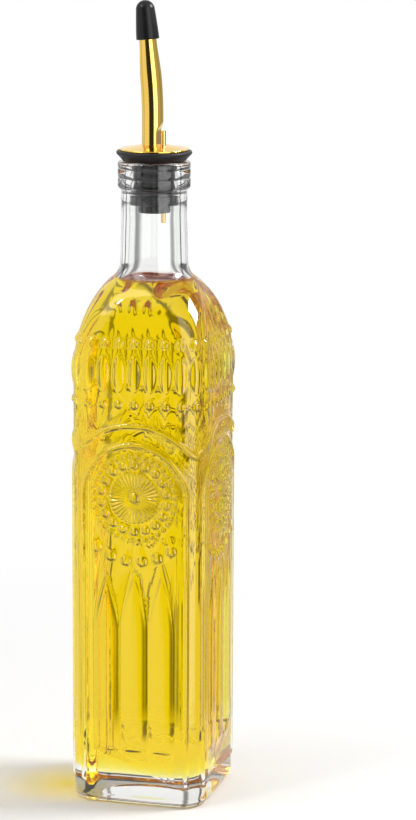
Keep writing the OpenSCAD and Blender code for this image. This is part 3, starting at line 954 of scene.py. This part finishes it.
@dataclass
class Pourer:
    """Stopper, spout and cap, on the bottle's axis. Sizes in millimetres, heights from the lip."""

    group: bpy.types.NodeTree
    lip: float
    core_r: float = 6.7
    core_l: float = 21.0
    clear: float = 0.05
    fin_r: float = 10.2
    fin_pitch: float = 4.6
    fins: int = 3
    sleeve_r: float = 7.7
    sleeve_l: float = 17.6
    band_h: float = 3.6
    gasket_t: float = 4.4
    gasket_r: float = 15.7
    gasket_foot: float = 12.9
    gasket_rim: float = 1.8
    disc_r: float = 14.4
    disc_t: float = 0.8
    disc_rise: float = 1.7
    disc_rim: float = 1.5
    tube_r: float = 4.45
    tip_r: float = 3.6
    tube_wall: float = 0.7
    tube_depth: float = 8.0
    tube_offset: float = 0.7
    straight: float = 18.0
    bend_r: float = 180.0
    lean: float = 5.0
    lean_turn: float = 180.0
    taper_l: float = 16.2
    flat_d: float = 2.6
    flat_top: float = 12.5
    air_r: float = 1.1
    air_wall: float = 0.35
    air_offset: float = 3.9
    air_top: float = 12.6
    air_low: float = 25.5
    cap_mouth: float = 4.75
    cap_top: float = 3.9
    cap_l: float = 16.0
    cap_depth: float = 9.5
    cap_clear: float = 0.05
    sides: int = 96

    def spun(self, name: str, points: list[tuple[float, float]], closed: bool) -> bpy.types.Object:
        """Spins a profile in millimetres, with heights from the lip, into a piece."""
        scaled = [(r * MM, (self.lip + z) * MM) for r, z in points]
        return lift(turned(scaled, self.sides, closed), name)

    def dress(self, piece: bpy.types.Object, coat: Coat, node: str, body: str) -> None:
        """Gives a piece its finish, and ties it to the frame.

        Args:
            piece: The piece.
            coat: Its finish.
            node: The CAD node that it replaces.
            body: The body that it rides on.
        """
        piece.data.materials.append(coat.value.material(self.group))
        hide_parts(node)
        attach(piece, body)
        log.info("%s: %d faces", piece.name, len(piece.data.polygons))

    def sleeve(self) -> None:
        """The ribbed rubber sleeve in the neck."""
        inner = self.core_r + self.clear
        foot = -self.sleeve_l
        first = -0.8
        points = [(inner, foot), (self.fin_r - 0.6, foot)]
        points += arc_points(self.fin_r - 0.6, foot + 0.6, 0.6, -60, 0, 4)
        points += arc_points(self.fin_r - 0.5, foot + self.band_h - 0.5, 0.5, 0, 80, 4)
        points += [(self.sleeve_r + 0.4, foot + self.band_h + 0.1), (self.sleeve_r, foot + self.band_h + 0.4)]
        for i in range(self.fins):
            z = first - self.fin_pitch * (self.fins - 1 - i)
            points += [(self.sleeve_r, z - 3.0), (self.sleeve_r + 0.4, z - 3.0), (self.fin_r - 0.4, z - 3.0)]
            points += arc_points(self.fin_r - 0.3, z - 2.7, 0.3, -90, 75, 5)
            points += [(self.sleeve_r + 0.5, z - 0.35), (self.sleeve_r, z)]
        points += [(self.sleeve_r, 0.0), (inner, 0.0)]
        piece = self.spun("ribbed_sleeve", points, True)
        sharpen(piece, 35)
        self.dress(piece, Coat.SLEEVE, "cork_sleeve", "stopper")

    def gasket(self) -> None:
        """The ring with a conical underside that sits on the lip."""
        inner = self.core_r + self.clear
        top = self.gasket_t
        rim = self.gasket_rim / 2
        points = [(inner, 0.0), (self.gasket_foot - 0.3, 0.0), (self.gasket_foot, 0.12)]
        points += arc_points(self.gasket_r - rim, top - rim, rim, -50, 90, 14)
        points += [(self.disc_r - 0.2, top), (inner, top)]
        piece = self.spun("lip_ring", points, True)
        sharpen(piece, 40)
        self.dress(piece, Coat.GASKET, "lip_gasket", "stopper")

    def disc(self) -> None:
        """The domed gold disc with a rolled rim."""
        low = self.gasket_t
        flat = self.disc_r - self.disc_rim
        dome = (flat * flat + self.disc_rise ** 2) / (2 * self.disc_rise)
        centre = low + self.disc_t + self.disc_rise - dome
        spread = math.degrees(math.asin(flat / dome))
        crown = arc_points(0.0, centre, dome, 90 - spread, 90, 20)
        points = [(0.0, low + 0.2), (flat - self.disc_t, low + 0.2), (flat - self.disc_t, low)]
        points += [(self.disc_r - 0.4, low)]
        points += arc_points(self.disc_r - 0.4, low + 0.4, 0.4, -90, 90, 8)[1:]
        points += crown
        piece = self.spun("collar_dome", points, False)
        sharpen(piece, 40)
        self.dress(piece, Coat.GOLD, "collar_disc", "spout")

    def core(self) -> None:
        """The black core whose lower end shows in the neck."""
        low = -self.core_l
        points = [(0.0, low)]
        points += arc_points(self.core_r - 0.7, low + 0.7, 0.7, -90, 0, 5)
        points += [(self.core_r, self.gasket_t), (0.0, self.gasket_t)]
        piece = self.spun("black_core", points, False)
        sharpen(piece, 40)
        self.dress(piece, Coat.CORE, "stopper_core", "spout")

    def spout_place(self) -> Matrix:
        """Frame at the lip whose +X is the way the spout leans, in metres."""
        turn = Euler((0, 0, math.radians(self.lean_turn))).to_matrix().to_4x4()
        return Matrix.Translation((0, 0, self.lip * MM)) @ turn

    def path(self, low: float, end: float, steps: int) -> list[tuple[float, float, float, float]]:
        """Stations along the spout's axis.

        Args:
            low: Height where they start.
            end: Length of the straight tip above the taper.
            steps: Number of steps up to the bend.

        Returns:
            Stations as x, z, tilt and share of the taper.
        """
        lean = math.radians(self.lean)
        rows = [(self.tube_offset, low + (self.straight - low) * s / steps, 0.0, 0.0) for s in range(steps)]
        for s in range(13):
            a = lean * s / 12
            rows.append((self.tube_offset + self.bend_r * (1 - math.cos(a)),
                         self.straight + self.bend_r * math.sin(a), a, 0.0))
        x, z = rows[-1][0], rows[-1][1]
        for s in range(1, 17):
            d = self.taper_l * s / 16
            rows.append((x + d * math.sin(lean), z + d * math.cos(lean), lean, s / 16))
        d = self.taper_l + end
        rows.append((x + d * math.sin(lean), z + d * math.cos(lean), lean, 1.0))
        return rows

    def wall_path(self) -> list[tuple[float, float, float, float, float]]:
        """Stations up the outside of the spout and down its bore.

        Returns:
            Stations as in path(), each with its distance inside the outer skin.
        """
        end = self.cap_depth - 0.15
        edge = self.tube_wall * 0.3
        up = self.path(-self.tube_depth, end - edge, 36)
        tip = self.path(-self.tube_depth, end, 36)[-1]
        outer = [(*row, 0.0) for row in up]
        inner = [(*row, self.tube_wall) for row in reversed(up)]
        return outer + [(*tip, edge), (*tip, self.tube_wall - edge)] + inner + [outer[0]]

    def tube(self) -> None:
        """The gold spout: a ring run up its outside and down its bore, pressed in beside the air tube."""
        maker = bmesh.new()
        circle = bmesh.ops.create_circle(maker, segments=self.sides, radius=1.0)["verts"]
        layers = [{v: v.co.copy() for v in circle}]
        edges = list({e for v in circle for e in v.link_edges})
        stations = self.wall_path()
        for _ in stations[1:]:
            made = bmesh.ops.extrude_edge_only(maker, edges=edges)["geom"]
            layers.append({g: g.co.copy() for g in made if isinstance(g, bmesh.types.BMVert)})
            edges = [g for g in made
                     if isinstance(g, bmesh.types.BMEdge) and all(v in layers[-1] for v in g.verts)]
        for (x, z, tilt, share, inset), layer in zip(stations, layers):
            ease = share * share * (3 - 2 * share)
            r = self.tube_r + (self.tip_r - self.tube_r) * ease - inset
            side = self.flat_d - inset + max(0.0, z - self.flat_top - inset) * 0.5
            for vert, co in layer.items():
                u = max(co.x * r, -side) if tilt == 0.0 else co.x * r
                vert.co = ((x + u * math.cos(tilt)) * MM, co.y * r * MM, (z - u * math.sin(tilt)) * MM)
        bmesh.ops.remove_doubles(maker, verts=maker.verts, dist=1e-6)
        maker.transform(self.spout_place())
        piece = lift(maker, "gold_spout")
        sharpen(piece, 50)
        self.dress(piece, Coat.GOLD, "spout_tube", "spout")

    def air(self) -> None:
        """The thin air tube beside the spout."""
        edge = self.air_wall / 2
        points = [(self.air_r - self.air_wall, -self.air_low + edge)]
        points += arc_points(self.air_r - edge, -self.air_low + edge, edge, 180, 360, 6)[1:]
        points += arc_points(self.air_r - edge, self.air_top - edge, edge, 0, 180, 6)
        maker = turned([(r * MM, z * MM) for r, z in points], 32, True)
        bmesh.ops.translate(maker, verts=maker.verts, vec=(-self.air_offset * MM, 0, 0))
        maker.transform(self.spout_place())
        self.dress(lift(maker, "air_pipe"), Coat.AIR_TUBE, "air_tube", "spout")

    def cap(self) -> None:
        """The black cap on the tip, with a rounded mouth edge and a round end."""
        bore = self.tip_r + self.cap_clear
        edge = 0.3
        points = [(0.0, self.cap_depth), (bore, self.cap_depth), (bore, edge)]
        points += arc_points(bore + edge, edge, edge, 180, 270, 4)[1:]
        points += arc_points(self.cap_mouth - edge, edge, edge, -90, 0, 5)
        shoulder = self.cap_l - self.cap_top
        for s in range(1, 9):
            t = s / 9
            r = self.cap_mouth + (self.cap_top - self.cap_mouth) * t ** 1.3
            points.append((r, edge + (shoulder - edge) * t))
        points += arc_points(0.0, shoulder, self.cap_top, 0, 90, 14)
        maker = turned([(r * MM, z * MM) for r, z in points], 64, False)
        x, z, tilt, _ = self.path(0.0, 0.0, 4)[-1]
        tip = Matrix.Translation((x * MM, 0, z * MM)) @ Euler((0, tilt, 0)).to_matrix().to_4x4()
        maker.transform(self.spout_place() @ tip)
        piece = lift(maker, "tip_cover")
        sharpen(piece, 50)
        self.dress(piece, Coat.CAP, "tip_cap", "cap")

    def build(self) -> None:
        """Builds every piece of the pourer."""
        self.sleeve()
        self.gasket()
        self.core()
        self.disc()
        self.tube()
        self.air()
        self.cap()


# ---------------------------------------------------------------- studio


@dataclass
class Studio:
    """Camera, pale floor, soft lamps and a surround of pale panels with dark gaps, in metres and degrees.

    Turns are counted around the bottle, from its front to its right. Each lamp has a name, turn, pitch,
    distance, size and power. Panels, strip and field are places and tones along a ramp.
    """

    orbit: float = 16.4
    height: float = 12.5
    distance: float = 1.3
    aim_turn: float = 15.379
    aim_pitch: float = 11.235
    roll: float = 0.257
    middle: float = 0.135
    lens: float = 135.6
    sensor: float = 36.0
    clip: tuple[float, float] = (0.05, 20.0)
    ambient: float = 0.6
    glass_panels: tuple[tuple[float, float], ...] = (
        (0.0, 0.9), (0.04, 0.9), (0.06, 0.1), (0.12, 0.1), (0.14, 0.95), (0.33, 0.95), (0.37, 0.24),
        (0.405, 0.24), (0.44, 1.0), (0.59, 1.0), (0.615, 0.35), (0.645, 0.35), (0.675, 0.95), (1.0, 0.95))
    sky_strip: tuple[tuple[float, float], ...] = (
        (0.0, 1.0), (0.485, 1.0), (0.51, 0.12), (0.575, 0.12), (0.605, 0.9), (1.0, 0.8))
    metal_field: tuple[tuple[float, float], ...] = (
        (0.0, 1.0), (0.12, 1.0), (0.15, 0.55), (0.22, 0.55), (0.26, 1.0), (0.3, 1.0), (0.4, 0.6), (0.5, 0.95),
        (0.755, 0.95), (0.785, 0.04), (1.0, 0.03))
    right_level: float = 0.5
    right_edge: tuple[float, float] = (0.25, 0.6)
    horizon_edge: tuple[float, float] = (0.02, 0.15)
    sky_edge: tuple[float, float] = (0.3, 0.45)
    softbox_turn: float = 50.5
    softbox_pitch: float = 3.0
    softbox_squeeze: float = 0.35
    softbox_edge: tuple[float, float] = (0.92, 0.95)
    softbox_level: float = 2.6
    softbox_through: float = 1.0
    floor_size: float = 0.45
    floor_tone: tuple[float, float] = (0.78, 0.8)
    floor_near: float = 0.12
    floor_margin: float = 0.05
    floor_glow: float = 0.03
    floor_through: tuple[float, float] = (0.1, 0.15)
    # painted caustic: how much red, green and blue the floor colour loses at a spot left of the base, and that
    # spot's place and radius, so a golden pool of light through the oil is painted there
    painted_caustic: tuple[float, float, float] = (0.0, 0.14, 0.8)
    painted_caustic_place: tuple[float, float, float] = (-0.036, -0.008, 0.0)
    painted_caustic_size: float = 0.03
    lamps: tuple[tuple[str, float, float, float, float, float], ...] = (
        ("key", 110.0, 42.0, 0.9, 0.3, 7.0), ("fill", -50.0, 50.0, 1.2, 0.6, 3.0),
        ("sparkle", -35.0, 48.0, 1.1, 0.1, 0.8))
    bounces: int = 32
    glass_bounces: int = 28
    metal_bounces: int = 8
    clamp: float = 6.0

    def direction(self, turn: float, pitch: float) -> Vector:
        """Unit vector from the object to a viewer at a turn and a height above the horizon."""
        a, e = math.radians(turn), math.radians(pitch)
        return Vector((math.sin(a) * math.cos(e), -math.cos(a) * math.cos(e), math.sin(e)))

    def camera(self) -> None:
        """Places the camera. It looks a little past the bottle, which stands left of the frame's middle."""
        data = bpy.data.cameras.new("camera")
        data.lens = self.lens
        data.sensor_width = self.sensor
        data.clip_start, data.clip_end = self.clip
        camera = bpy.data.objects.new("camera", data)
        bpy.context.scene.collection.objects.link(camera)
        camera.location = Vector((0, 0, self.middle)) + self.direction(self.orbit, self.height) * self.distance
        look = (-self.direction(self.aim_turn, self.aim_pitch)).to_track_quat("-Z", "Y")
        camera.rotation_mode = "QUATERNION"
        camera.rotation_quaternion = look @ Euler((0, 0, math.radians(self.roll))).to_quaternion()
        bpy.context.scene.camera = camera

    def toward(self, make: Nodes, way: bpy.types.NodeSocket, aim: Vector) -> bpy.types.NodeSocket:
        """Cosine of the angle between a direction and a fixed one."""
        return make.vectors("DOT_PRODUCT", way, aim).outputs["Value"]

    def glass_level(self, make: Nodes, way: bpy.types.NodeSocket) -> bpy.types.NodeSocket:
        """How light the surround is through glass: four pale panels round the room with narrow dark gaps.

        Args:
            make: Handle on the world's nodes.
            way: Direction of a ray.

        Returns:
            The strength in that direction.
        """
        right = self.direction(self.orbit + 90.0, 0.0)
        behind = -self.direction(self.orbit, 0.0)
        turn = make.maths("ARCTAN2", self.toward(make, way, right), self.toward(make, way, behind))
        quarter = make.maths("FRACT", make.maths("ADD", make.maths("DIVIDE", turn, QUARTER), 0.5))
        height = make.ramp(self.toward(make, way, UP), -1.0, 1.0, 0.0, 1.0)
        return make.maths("MULTIPLY", self.greys(make, quarter, self.glass_panels),
                          self.greys(make, height, self.sky_strip))

    def metal_level(self, make: Nodes, way: bpy.types.NodeSocket) -> bpy.types.NodeSocket:
        """How light the surround is in a reflection: white behind the object, dark in front, dimmer right.

        Args:
            make: Handle on the world's nodes.
            way: Direction of a ray.

        Returns:
            The strength in that direction.
        """
        behind = -self.direction(self.orbit, self.height)
        angle = make.maths("DIVIDE", make.maths("ARCCOSINE", self.toward(make, way, behind)), math.pi)
        side = self.toward(make, way, self.direction(self.orbit + 90.0, 0.0))
        dimmed = make.maths("MULTIPLY", self.greys(make, angle, self.metal_field),
                            make.ramp(side, *self.right_edge, 1.0, self.right_level))
        above = make.ramp(self.toward(make, way, UP), *self.horizon_edge, 0.0, 1.0)
        sky = make.maths("MULTIPLY", above, make.ramp(angle, *self.sky_edge, 1.0, 0.0))
        return make.maths("MAXIMUM", dimmed, sky)

    def greys(self, make: Nodes, value: bpy.types.NodeSocket, stops: tuple[tuple[float, float], ...]
              ) -> bpy.types.NodeSocket:
        """A grey ramp.

        Args:
            make: Handle on the nodes.
            value: What runs along the ramp.
            stops: Places and tones.

        Returns:
            The tone.
        """
        node = make.put(make.add("ShaderNodeValToRGB"), Fac=value)
        elements = node.color_ramp.elements
        elements.remove(elements[1])
        elements[0].position = stops[0][0]
        elements[0].color = (*[stops[0][1]] * 3, 1)
        for place, tone in stops[1:]:
            elements.new(place).color = (tone, tone, tone, 1)
        return node.outputs["Color"]

    def seen(self, make: Nodes) -> bpy.types.NodeSocket:
        """Mask of the rays that show the background: camera, glossy and transmission rays.

        Args:
            make: Handle on the nodes.

        Returns:
            1 for those rays, and 0 for the rest.
        """
        path = make.add("ShaderNodeLightPath").outputs
        both = make.maths("MAXIMUM", path["Is Camera Ray"], path["Is Glossy Ray"])
        return make.maths("MAXIMUM", both, path["Is Transmission Ray"])

    def world(self) -> None:
        """White to the camera, the panels to metal and glass, and a plain level for the rest."""
        world = bpy.data.worlds.new("studio")
        bpy.context.scene.world = world
        world.use_nodes = True
        world.node_tree.nodes.clear()
        make = Nodes(world.node_tree)
        way = make.add("ShaderNodeTexCoord").outputs["Generated"]
        path = make.add("ShaderNodeLightPath").outputs
        around = make.put(make.add("ShaderNodeMix", data_type="FLOAT"), Factor=path["Is Transmission Ray"],
                          A=self.metal_level(make, way), B=self.glass_level(make, way))
        squeezed = make.vectors("MULTIPLY", way, (1.0, 1.0, self.softbox_squeeze))
        unit = make.vectors("NORMALIZE", squeezed.outputs["Vector"])
        aim = self.direction(self.softbox_turn, self.softbox_pitch)
        shape = make.ramp(self.toward(make, unit.outputs["Vector"], aim), *self.softbox_edge, 0.0, 1.0)
        power = make.ramp(path["Is Transmission Ray"], 0.0, 1.0, self.softbox_level, self.softbox_through)
        lit = make.maths("ADD", around.outputs["Result"], make.maths("MULTIPLY", shape, power))
        shown = make.maths("MAXIMUM", lit, path["Is Camera Ray"])
        level = make.put(make.add("ShaderNodeMix", data_type="FLOAT"), Factor=self.seen(make), A=self.ambient,
                         B=shown)
        shade = make.put(make.add("ShaderNodeBackground"), Color=WHITE, Strength=level.outputs["Result"])
        make.put(make.add("ShaderNodeOutputWorld"), Surface=shade.outputs[0])

    def floor(self) -> None:
        """A pale floor with a painted golden caustic left of the base, where light through the oil would fall, and
        white further out.
        """
        maker = bmesh.new()
        bmesh.ops.create_circle(maker, cap_ends=True, segments=64, radius=self.floor_size)
        floor = lift(maker, "floor", smooth=False)
        material, make, shader = blank_material("pale_floor")
        coords = make.coords()
        away = make.vectors("LENGTH", coords).outputs["Value"]
        far = make.ramp(away, self.floor_near, self.floor_size - self.floor_margin, 0.0, 1.0)
        seen = self.seen(make)
        grain = make.ramp(make.noise(coords, 4.0, 2.0), 0.3, 0.7, *self.floor_tone)
        tone = make.maths("MULTIPLY", grain, make.maths("SUBTRACT", 1.0, make.maths("MULTIPLY", far, seen)))
        # painted caustic: the floor colour turns golden within a small disc left of the base, standing in for light
        # that comes through the oil
        painted_caustic_distance = make.vectors("DISTANCE", coords, self.painted_caustic_place).outputs["Value"]
        parts = [make.maths("MULTIPLY", tone, make.ramp(painted_caustic_distance, 0.0, self.painted_caustic_size, 1.0 - lost, 1.0))
                 for lost in self.painted_caustic]
        color = make.put(make.add("ShaderNodeCombineColor"), Red=parts[0], Green=parts[1], Blue=parts[2])
        glow = make.maths("ADD", make.maths("MULTIPLY", far, 1.0 - self.floor_glow), self.floor_glow)
        make.put(shader, Base_Color=color.outputs[0], Roughness=0.9, Specular_IOR_Level=0.0,
                 Emission_Color=WHITE, Emission_Strength=make.maths("MULTIPLY", glow, seen))
        path = make.add("ShaderNodeLightPath").outputs
        bent = make.maths("MAXIMUM", path["Is Glossy Ray"], path["Is Transmission Ray"])
        beyond = make.maths("MULTIPLY", bent, make.ramp(away, *self.floor_through, 0.0, 1.0))
        show = make.add("ShaderNodeMixShader")
        clear = make.add("ShaderNodeBsdfTransparent")
        for socket, value in zip(show.inputs, (beyond, shader.outputs[0], clear.outputs[0])):
            make.wire(value, socket)
        make.put(material.node_tree.nodes["Material Output"], Surface=show.outputs[0])
        floor.data.materials.append(material)

    def lamp(self, name: str, turn: float, pitch: float, away: float, size: float, power: float) -> None:
        """An area lamp that faces the bottle's middle.

        Args:
            name: Its name.
            turn: Turn around the bottle in degrees, as for the camera.
            pitch: Height above the horizon in degrees.
            away: Distance in metres.
            size: Side of the lamp in metres.
            power: Watts.
        """
        data = bpy.data.lights.new(name, "AREA")
        data.size = size
        data.energy = power
        lamp = bpy.data.objects.new(name, data)
        way = self.direction(turn, pitch)
        lamp.location = Vector((0, 0, self.middle)) + way * away
        lamp.rotation_mode = "QUATERNION"
        lamp.rotation_quaternion = way.to_track_quat("Z", "Y")
        bpy.context.scene.collection.objects.link(lamp)

    def build(self) -> None:
        """Builds the studio."""
        self.camera()
        self.world()
        self.floor()
        for lamp in self.lamps:
            self.lamp(*lamp)
        scene = bpy.context.scene
        scene.view_settings.view_transform = "Standard"
        scene.cycles.max_bounces = self.bounces
        scene.cycles.transmission_bounces = self.glass_bounces
        scene.cycles.glossy_bounces = self.metal_bounces
        scene.cycles.sample_clamp_indirect = self.clamp


def main() -> None:
    """Builds the object and its studio."""
    logging.basicConfig(level=logging.INFO, format="%(name)s %(message)s")
    grain = grain_group()
    Studio().build()
    bottle = Bottle()
    bottle.build()
    Pourer(group=grain, lip=bottle.plan.height).build()


if __name__ == "__main__":
    main()
